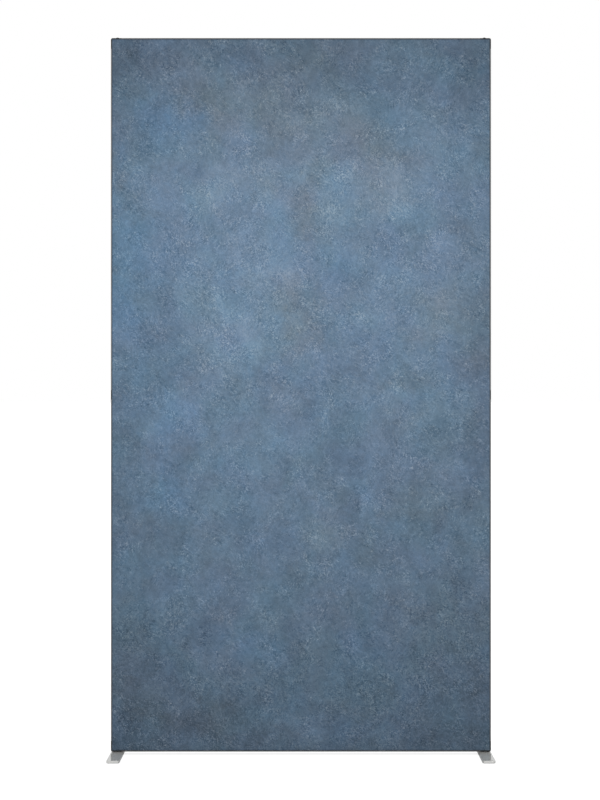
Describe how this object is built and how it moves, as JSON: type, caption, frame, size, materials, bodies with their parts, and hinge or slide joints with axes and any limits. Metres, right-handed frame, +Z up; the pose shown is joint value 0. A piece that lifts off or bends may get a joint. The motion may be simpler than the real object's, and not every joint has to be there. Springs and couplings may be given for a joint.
{
  "type": "partition wall",
  "caption": "Free-standing exhibition partition wall: slim aluminium frame with black corner connectors, printed painterly blue fabric face and flat swivelling feet.",
  "frame": {"origin": "on the floor, under the middle of the wall in width and depth", "axes": "+Z up, +X to the right of someone who looks at the fabric face, the fabric faces -Y"},
  "size_m": [1.22, 0.35, 2.3068],
  "materials": {
    "frame_aluminium": "satin anodised",
    "connector_nylon": "moulded, fine grain",
    "printed_fabric": "tension fabric, hand-painted mottled print",
    "edge_silicone": "translucent silicone",
    "fastener_steel": "zinc plated",
    "foot_steel": "bright plated, soft reflections",
    "sole_rubber": "matt",
    "washer_nylon": "smooth",
    "insert_brass": "turned",
    "release_steel": "blackened",
    "ball_steel": "polished",
    "spring_steel": "drawn wire",
    "cap_plastic": "moulded",
    "snap_steel": "turned, bright"
  },
  "bodies": {
    "frame": {"top_rail": "frame_aluminium", "bottom_rail": "frame_aluminium", "crossbar": "frame_aluminium", "upright_lower_left": "frame_aluminium", "upright_lower_right": "frame_aluminium", "upright_upper_left": "frame_aluminium", "upright_upper_right": "frame_aluminium", "corner_top_left": "connector_nylon", "corner_top_right": "connector_nylon", "corner_bottom_left": "connector_nylon", "corner_bottom_right": "connector_nylon", "tee_left": "connector_nylon", "tee_right": "connector_nylon", "front_fabric": "printed_fabric", "keder_top": "edge_silicone", "keder_bottom": "edge_silicone", "keder_left": "edge_silicone", "keder_right": "edge_silicone", "rail_screws": "fastener_steel", "tee_screws": "fastener_steel", "foot_washer_left": "washer_nylon", "foot_washer_right": "washer_nylon", "foot_screw_left": "fastener_steel", "foot_screw_right": "fastener_steel", "foot_insert_left": "insert_brass", "foot_insert_right": "insert_brass", "release_spring_left": "spring_steel", "release_spring_right": "spring_steel", "release_plug_left": "cap_plastic", "release_plug_right": "cap_plastic", "snap_spring_bottom_left": "spring_steel", "snap_spring_bottom_right": "spring_steel", "snap_spring_tee_left": "spring_steel", "snap_spring_tee_right": "spring_steel", "snap_spring_crossbar_left": "spring_steel", "snap_spring_crossbar_right": "spring_steel", "snap_caps": "cap_plastic"},
    "left_foot": {"foot_left": "foot_steel", "foot_pad_left": "sole_rubber"},
    "left_release_button": {"release_button_left": "release_steel"},
    "left_outer_ball": {"lock_ball_left_outer": "ball_steel"},
    "left_inner_ball": {"lock_ball_left_inner": "ball_steel"},
    "left_bottom_snap": {"snap_button_bottom_left": "snap_steel"},
    "left_tee_snap": {"snap_button_tee_left": "snap_steel"},
    "left_crossbar_snap": {"snap_button_crossbar_left": "snap_steel"},
    "right_foot": {"foot_right": "foot_steel", "foot_pad_right": "sole_rubber"},
    "right_release_button": {"release_button_right": "release_steel"},
    "right_outer_ball": {"lock_ball_right_outer": "ball_steel"},
    "right_inner_ball": {"lock_ball_right_inner": "ball_steel"},
    "right_bottom_snap": {"snap_button_bottom_right": "snap_steel"},
    "right_tee_snap": {"snap_button_tee_right": "snap_steel"},
    "right_crossbar_snap": {"snap_button_crossbar_right": "snap_steel"}
  },
  "joints": [
    {"name": "left_foot_swivel", "type": "hinge", "parent": "frame", "child": "left_foot", "pos_m": [-0.59, 0, 0.005], "axis": [0, 0, 1], "range_deg": [-90, 90]},
    {"name": "left_release_press", "type": "slide", "parent": "frame", "child": "left_release_button", "axis": [0, 0, -1], "range_m": [0, 0.004], "stiffness_N_per_m": 1500, "springref_m": -0.004, "deforming": ["release_spring_left"]},
    {"name": "left_outer_ball_slide", "type": "slide", "parent": "frame", "child": "left_outer_ball", "axis": [1, 0, 0], "range_m": [0, 0.0014]},
    {"name": "left_inner_ball_slide", "type": "slide", "parent": "frame", "child": "left_inner_ball", "axis": [-1, 0, 0], "range_m": [0, 0.0014]},
    {"name": "left_bottom_snap_press", "type": "slide", "parent": "frame", "child": "left_bottom_snap", "axis": [-1, 0, 0], "range_m": [0, 0.005], "stiffness_N_per_m": 1200, "springref_m": -0.003, "deforming": ["snap_spring_bottom_left"]},
    {"name": "left_tee_snap_press", "type": "slide", "parent": "frame", "child": "left_tee_snap", "axis": [-1, 0, 0], "range_m": [0, 0.005], "stiffness_N_per_m": 1200, "springref_m": -0.003, "deforming": ["snap_spring_tee_left"]},
    {"name": "left_crossbar_snap_press", "type": "slide", "parent": "frame", "child": "left_crossbar_snap", "axis": [0, -1, 0], "range_m": [0, 0.005], "stiffness_N_per_m": 1200, "springref_m": -0.003, "deforming": ["snap_spring_crossbar_left"]},
    {"name": "right_foot_swivel", "type": "hinge", "parent": "frame", "child": "right_foot", "pos_m": [0.59, 0, 0.005], "axis": [0, 0, 1], "range_deg": [-90, 90]},
    {"name": "right_release_press", "type": "slide", "parent": "frame", "child": "right_release_button", "axis": [0, 0, -1], "range_m": [0, 0.004], "stiffness_N_per_m": 1500, "springref_m": -0.004, "deforming": ["release_spring_right"]},
    {"name": "right_outer_ball_slide", "type": "slide", "parent": "frame", "child": "right_outer_ball", "axis": [-1, 0, 0], "range_m": [0, 0.0014]},
    {"name": "right_inner_ball_slide", "type": "slide", "parent": "frame", "child": "right_inner_ball", "axis": [1, 0, 0], "range_m": [0, 0.0014]},
    {"name": "right_bottom_snap_press", "type": "slide", "parent": "frame", "child": "right_bottom_snap", "axis": [1, 0, 0], "range_m": [0, 0.005], "stiffness_N_per_m": 1200, "springref_m": -0.003, "deforming": ["snap_spring_bottom_right"]},
    {"name": "right_tee_snap_press", "type": "slide", "parent": "frame", "child": "right_tee_snap", "axis": [1, 0, 0], "range_m": [0, 0.005], "stiffness_N_per_m": 1200, "springref_m": -0.003, "deforming": ["snap_spring_tee_right"]},
    {"name": "right_crossbar_snap_press", "type": "slide", "parent": "frame", "child": "right_crossbar_snap", "axis": [0, -1, 0], "range_m": [0, 0.005], "stiffness_N_per_m": 1200, "springref_m": -0.003, "deforming": ["snap_spring_crossbar_right"]}
  ],
  "couplings": [
    {"joint": "left_outer_ball_slide", "follows": "left_release_press", "ratio": 0.325},
    {"joint": "left_inner_ball_slide", "follows": "left_release_press", "ratio": 0.325},
    {"joint": "right_outer_ball_slide", "follows": "right_release_press", "ratio": 0.325},
    {"joint": "right_inner_ball_slide", "follows": "right_release_press", "ratio": 0.325}
  ]
}
